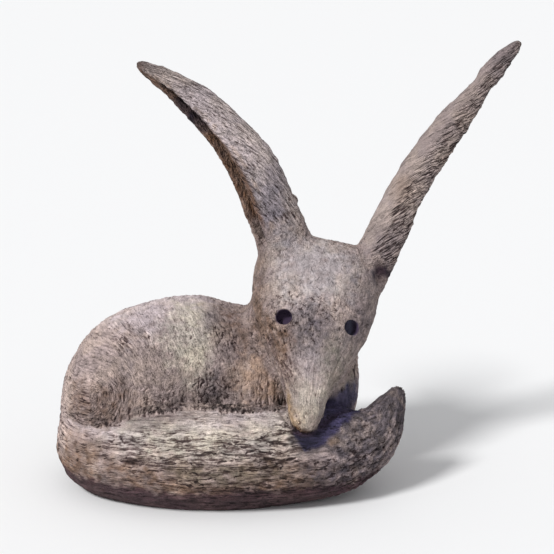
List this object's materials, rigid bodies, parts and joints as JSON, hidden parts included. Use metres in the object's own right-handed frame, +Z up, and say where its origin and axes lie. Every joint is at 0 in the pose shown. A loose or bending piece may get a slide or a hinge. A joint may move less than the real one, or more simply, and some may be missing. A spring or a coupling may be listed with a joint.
{
  "type": "fox statue",
  "caption": "Cast stone garden statue of a curled fox with long raised ears, its tail wrapped round the front and its nose resting on the tail.",
  "frame": {"origin": "on the ground, under the middle of the statue's box", "axes": "+Z up; +X along the body from the rump towards the head and the raised tip of the tail; -Y is the front, which the face and the tail look to"},
  "size_m": [0.4504, 0.2328, 0.4247],
  "materials": {
    "cast_stone": "rough, combed and weathered, pinkish grey to cream with dark pigment in the strokes"
  },
  "bodies": {
    "root": {"fox": "cast_stone"}
  },
  "joints": []
}
